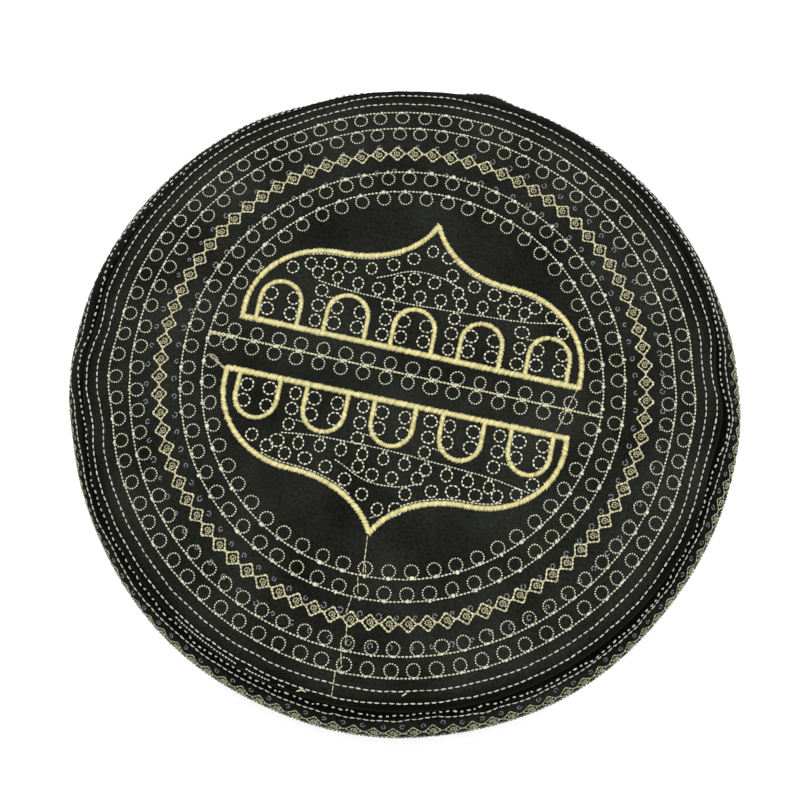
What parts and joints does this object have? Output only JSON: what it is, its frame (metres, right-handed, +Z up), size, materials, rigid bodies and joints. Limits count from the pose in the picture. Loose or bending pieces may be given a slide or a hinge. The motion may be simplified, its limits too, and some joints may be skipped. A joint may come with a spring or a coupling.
{
  "type": "prayer cap",
  "caption": "Soft round prayer cap with a flat embroidered top panel and a side band slumped into two rolls, open below for the head.",
  "frame": {"origin": "on the surface that the cap rests on, under the middle of the top panel", "axes": "+Z up through the middle of the top panel; +Y towards the point of the embroidered medallion"},
  "size_m": [0.1873, 0.1871, 0.042],
  "materials": {
    "panel_cloth": "black twill-woven cotton, matt",
    "band_cloth": "black twill-woven cotton, matt",
    "gold_thread": "gold rayon embroidery thread with a silky sheen",
    "pale_thread": "pale champagne embroidery thread with a silky sheen",
    "grey_thread": "grey-violet embroidery thread, dim"
  },
  "bodies": {
    "root": {"top_panel": "panel_cloth", "side_band": "band_cloth"}
  },
  "joints": []
}
